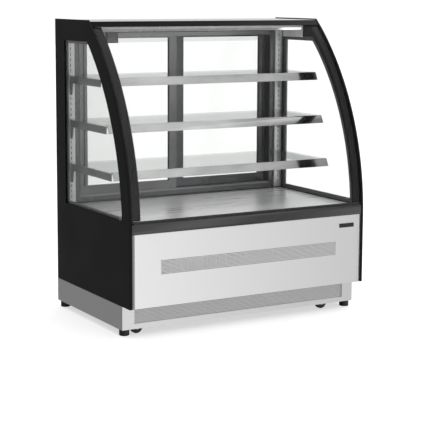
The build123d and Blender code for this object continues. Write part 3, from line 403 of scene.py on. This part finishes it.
panel_low, panel_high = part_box("front_panel")
vent_half = 0.452
vent_low, vent_high = panel_high.z - 0.180, panel_high.z - 0.117
fold = 0.0022
columns = int(round(2 * vent_half / hole_pitch))
rows = int(round((vent_high - vent_low) / row_pitch))
vent_x = np.linspace(-vent_half, vent_half, 2 * columns + 1)
vent_z = np.linspace(vent_low, vent_high, 2 * rows + 1)
panel_x = np.concatenate([
    spread(panel_low.x, -vent_half, 0.02)[:-1], vent_x, spread(vent_half, panel_high.x, 0.02)[1:],
])
turn = np.linspace(0, np.pi / 2, 6)
lower_back = panel_high.y - panel_low.y
upper_back = 0.018
face_low, face_high = panel_low.z + fold, panel_high.z - fold
face_z = np.concatenate([
    spread(face_low, vent_low, 0.03)[:-1], vent_z, spread(vent_high, face_high, 0.03)[1:],
])
lower_run = face_low - fold * np.pi / 2
upper_run = face_high + fold * np.pi / 2
panel_s = np.concatenate([
    spread(lower_run - (lower_back - fold), lower_run, 0.03)[:-1],
    face_low - (turn[::-1] * fold)[:-1], face_z,
    face_high + (turn * fold)[1:], spread(upper_run, upper_run + upper_back - fold, 0.02)[1:],
])


def panel_spot(x, s):
    """The sheet runs up the face; past each fold line it turns a quarter circle and runs back."""
    low_turn = np.clip((face_low - s) / fold, 0, np.pi / 2)
    high_turn = np.clip((s - face_high) / fold, 0, np.pi / 2)
    back = np.maximum(lower_run - s, 0) + np.maximum(s - upper_run, 0)
    y = panel_low.y + fold * (2 - np.cos(low_turn) - np.cos(high_turn)) + back
    z = np.clip(s, face_low, face_high) - fold * np.sin(low_turn) + fold * np.sin(high_turn)
    return np.stack([x, y, z], 1)


points, faces = perforate(
    panel_x, panel_s, int(np.argmin(abs(panel_x + vent_half))), int(np.argmin(abs(panel_s - vent_low))),
    columns, rows, panel_spot,
)
front_sheet = thicken(new_piece("front_sheet", points, faces, front_satin, "cabinet"), 0.0012)
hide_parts("front_panel")

grille_low, grille_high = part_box("plinth_grille")
grille_half, grille_z_low, grille_z_high = 0.541, 0.050, 0.113
columns = int(round(2 * grille_half / hole_pitch))
rows = int(round((grille_z_high - grille_z_low) / row_pitch))
grille_x = np.concatenate([
    spread(grille_low.x, -grille_half, 0.01)[:-1], np.linspace(-grille_half, grille_half, 2 * columns + 1),
    spread(grille_half, grille_high.x, 0.01)[1:],
])
grille_z = np.concatenate([
    spread(grille_low.z, grille_z_low, 0.01)[:-1], np.linspace(grille_z_low, grille_z_high, 2 * rows + 1),
    spread(grille_z_high, grille_high.z, 0.01)[1:],
])


def grille_spot(x, z):
    """A flat upright sheet just behind the plinth's opening."""
    return np.stack([x, np.full_like(x, grille_low.y), z], 1)


points, faces = perforate(grille_x, grille_z, 1, 1, columns, rows, grille_spot)
grille_sheet = thicken(new_piece("plinth_grille_sheet", points, faces, plinth_satin, "cabinet"), 0.001)
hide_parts("plinth_grille")
# A dark filter mat lies close behind the plinth's perforated sheet; its near-black felt is painted shade,
# standing for the dark inside of the plinth seen through the holes.
mat_painted_shade = mix_finish("filter_felt_painted_shade", (0.06, 0.06, 0.06), 0.9, grain_size=0.004, tone=0.3, relief=0.8)
mat_x, mat_z = spread(-grille_half, grille_half, 0.02), spread(grille_z_low, grille_z_high, 0.01)
grid_x, grid_z = np.meshgrid(mat_x, mat_z)
mat_gap = 0.0006
mat_points = np.stack([grid_x, np.full_like(grid_x, grille_high.y + mat_gap), grid_z], -1).reshape(-1, 3)
mat_faces = weave_faces(len(mat_x), len(mat_z))
filter_mat = thicken(new_piece("plinth_filter_mat", mat_points, mat_faces, mat_painted_shade, "cabinet"), 0.0008)

# Badge. A small black plate with rounded corners, fixed to the front panel.
badge_black = mix_finish("badge_black", (0.012, 0.012, 0.012), 0.3, grain_size=0.01, relief=0.05)
dress("badge_plate", badge_black, 0.0004)

# Belt rail and glass channel. A deep black extrusion under the glass, and the rubber gasket
# in which the glass stands.
belt_black = mix_finish(
    "belt_gloss_black", (0.022, 0.022, 0.023), 0.22, grain=(1.0, 8.0, 8.0), grain_size=0.3,
    tone=0.1, coat=0.4,
)
seal_rubber = mix_finish("seal_rubber", (0.015, 0.015, 0.015), 0.5, grain_size=0.01, relief=0.3)
dress("belt_rail", belt_black, 0.002)
dress("glass_channel", seal_rubber)

# Rear frame. Grey anodised profiles round the doorway, with two channels for the sliding doors.
frame_grey = mix_finish(
    "frame_grey", (0.15, 0.15, 0.155), 0.3, metallic=0.85, grain=(1.0, 1.0, 0.6), grain_size=0.5,
    tone=0.2, gloss=0.05, relief=0.03, relief_size=0.05,
)
track_grey = mix_finish(
    "track_grey", (0.3, 0.3, 0.31), 0.35, metallic=1.0, grain=(1.0, 30.0, 30.0), grain_size=0.2,
)
dress("rear_frame", frame_grey, 0.001)
dress("door_tracks", track_grey)

# Sliding doors. Grey profile frames with grip grooves, and single panes.
door_grey = mix_finish(
    "door_grey", (0.21, 0.21, 0.215), 0.25, metallic=0.9, grain=(1.0, 1.0, 0.6), grain_size=0.4,
    tone=0.25, gloss=0.05, relief=0.03, relief_size=0.05,
)
# The right door's frame is the same grey profile, painted darker and more mottled: painted shade.
door_painted_shade = mix_finish(
    "door_grey_painted_shade", (0.12, 0.12, 0.125), 0.25, metallic=0.9, grain=(1.0, 1.0, 0.6), grain_size=0.3,
    tone=0.35, gloss=0.05, relief=0.03, relief_size=0.05,
)
door_pane = mix_glass("door_float_glass", (0.9, 0.905, 0.9), least=0.02)
for side, finish in (("left", door_grey), ("right", door_painted_shade)):
    dress(f"door_frame_{side}", finish, 0.001)
    dress(f"door_glass_{side}", door_pane)

# Deck. Brushed stainless pan that lifts out.
deck_satin = mix_finish(
    "deck_satin", (0.8, 0.8, 0.8), 0.3, metallic=0.55, grain=(1.0, 10.0, 10.0), grain_size=0.6,
    tone=0.05, gloss=0.05, relief=0.03, relief_size=0.04,
)
dress("deck_pan", deck_satin)

# Pilasters and shelf brackets. Slotted steel uprights and the brackets hooked into them.
pilaster_white = mix_finish(
    "pilaster_steel", (0.88, 0.88, 0.88), 0.35, metallic=0.5, grain=(30.0, 30.0, 1.0), grain_size=0.2,
    tone=0.03, relief=0.03,
)
bracket_grey = mix_finish(
    "bracket_steel", (0.42, 0.42, 0.42), 0.3, metallic=0.9, grain=(1.0, 2.0, 2.0), grain_size=0.3, tone=0.2,
)
dress("pilasters", pilaster_white)
for side in ("left", "right"):
    dress(f"shelf_brackets_{side}", bracket_grey, 0.0005)

# Shelves. Clear glass, each with a polished steel lip clipped to its front edge.
shelf_clear = mix_glass("shelf_glass", (0.96, 0.965, 0.96))
mirror_steel = mix_finish(
    "polished_lip", (0.5, 0.5, 0.5), 0.12, metallic=1.0, grain=(1.0, 3.0, 3.0), grain_size=0.25,
    tone=0.2, gloss=0.05, relief=0.04, relief_size=0.03,
)
for tier in ("lower", "middle", "upper"):
    dress(f"shelf_glass_{tier}", shelf_clear)
    dress(f"shelf_lip_{tier}", mirror_steel, 0.0004)

# Canopy. Black fascia rail, top sheet, polished lining, the lamp, the sensor box, and light
# linings on the walls above the windows. The lamp glows at its right end.
canopy_steel = mix_finish(
    "canopy_steel", (0.6, 0.6, 0.6), 0.2, metallic=1.0, grain=(1.0, 30.0, 30.0), grain_size=0.3, tone=0.12,
)
top_satin = mix_finish(
    "top_satin", (0.7, 0.7, 0.7), 0.35, metallic=1.0, grain=(1.0, 50.0, 50.0), grain_size=0.3,
)
lamp_paint = mix_finish("lamp_paint", (0.7, 0.7, 0.7), 0.4, grain_size=0.05)
sensor_plastic = mix_finish("sensor_plastic", (0.16, 0.16, 0.16), 0.45, grain_size=0.02, relief=0.2)
lamp_lens = mix_finish("lamp_lens", (0.3, 0.3, 0.3), 0.3, grain_size=0.05, tone=0.02)
lens_shader = lamp_lens.node_tree.nodes["Principled BSDF"]
lens_shader.inputs["Emission Color"].default_value = (1.0, 0.98, 0.95, 1.0)
lens_place = lamp_lens.node_tree.nodes.new("ShaderNodeTexCoord")
lens_axes = lamp_lens.node_tree.nodes.new("ShaderNodeSeparateXYZ")
lens_glow = lamp_lens.node_tree.nodes.new("ShaderNodeMapRange")
lens_glow.inputs["From Min"].default_value = 0.40
lens_glow.inputs["From Max"].default_value = 0.44
lens_glow.inputs["To Min"].default_value = 0.05
lens_glow.inputs["To Max"].default_value = 1.1
lamp_lens.node_tree.links.new(lens_place.outputs["Object"], lens_axes.inputs[0])
lamp_lens.node_tree.links.new(lens_axes.outputs["X"], lens_glow.inputs["Value"])
lamp_lens.node_tree.links.new(lens_glow.outputs["Result"], lens_shader.inputs["Emission Strength"])
for side, face_x in (("left", -0.5796), ("right", 0.5796)):
    lining_y, lining_z = spread(0.115, 0.29, 0.02), spread(1.242, 1.300, 0.01)
    grid_y, grid_z = np.meshgrid(lining_y, lining_z)
    lining_faces = weave_faces(len(lining_y), len(lining_z))
    lining_points = np.stack([np.full_like(grid_y, face_x), grid_y, grid_z], -1).reshape(-1, 3)
    lining = new_piece(f"wall_lining_{side}", lining_points, lining_faces, lamp_paint, "cabinet")
    thicken(lining, 0.0003)
dress("fascia_rail", wall_black, 0.0015)
dress("canopy_liner", canopy_steel)
dress("top_panel", top_satin, 0.0005)
dress("lamp_housing", lamp_paint)
dress("lamp_diffuser", lamp_lens)
dress("sensor_housing", sensor_plastic, 0.0006)

# Front glass. One bent toughened pane, with a black border printed on its inner face down
# both sides.
front_y, arc_foot, arc_radius = -0.375, 0.440, 1.188
print_width = 0.043
pane_low, pane_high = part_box("front_glass")


def curve_spot(x, z, setback):
    """A point of the bent front: upright below the arc's foot, then on a circle that leans back."""
    rise = np.maximum(z - arc_foot, 0.0)
    return np.stack([x, front_y + arc_radius - np.sqrt((arc_radius - setback) ** 2 - rise**2), z], -1)


bent_glass = mix_glass("bent_front_glass", (0.985, 0.987, 0.986), least=0.012)
dress("front_glass", bent_glass)
print_black = mix_finish(
    "printed_border", (0.004, 0.004, 0.004), 0.3, grain=(2.0, 1.0, 1.0), grain_size=0.2, tone=0.3,
    specular=0.2,
)
for side, low_x, high_x in (
    ("left", pane_low.x, pane_low.x + print_width), ("right", pane_high.x - print_width, pane_high.x),
):
    border_x, border_z = spread(low_x, high_x, 0.01), spread(pane_low.z + 0.01, pane_high.z, 0.008)
    grid_x, grid_z = np.meshgrid(border_x, border_z)
    border_points = curve_spot(grid_x, grid_z, 0.0062).reshape(-1, 3)
    border_faces = weave_faces(len(border_x), len(border_z))
    border = new_piece(f"printed_border_{side}", border_points, border_faces, print_black, "cabinet")
    thicken(border, 0.0003)

# Rear service side. Painted steel panel with louvres, its screws, control box, keys, rocker
# switch and cable gland.
rear_paint = mix_finish(
    "rear_sheet", (0.45, 0.45, 0.46), 0.4, metallic=0.9, grain=(1.0, 1.0, 60.0), grain_size=0.25,
)
control_plastic = mix_finish("control_plastic", (0.03, 0.03, 0.032), 0.4, grain_size=0.02, relief=0.25)
key_plastic = mix_finish("key_plastic", (0.35, 0.35, 0.36), 0.45, grain_size=0.01)
rocker_plastic = mix_finish("rocker_plastic", (0.25, 0.015, 0.012), 0.3, grain_size=0.01)
gland_plastic = mix_finish("gland_plastic", (0.03, 0.03, 0.03), 0.45, grain_size=0.01)
for node, finish, edge in (
    ("rear_panel", rear_paint, 0.0), ("panel_screws", zinc_plate, 0.0),
    ("control_box", control_plastic, 0.0008), ("button_up", key_plastic, 0.0),
    ("button_down", key_plastic, 0.0), ("light_rocker", rocker_plastic, 0.0005),
    ("cable_gland", gland_plastic, 0.0),
):
    dress(node, finish, edge)
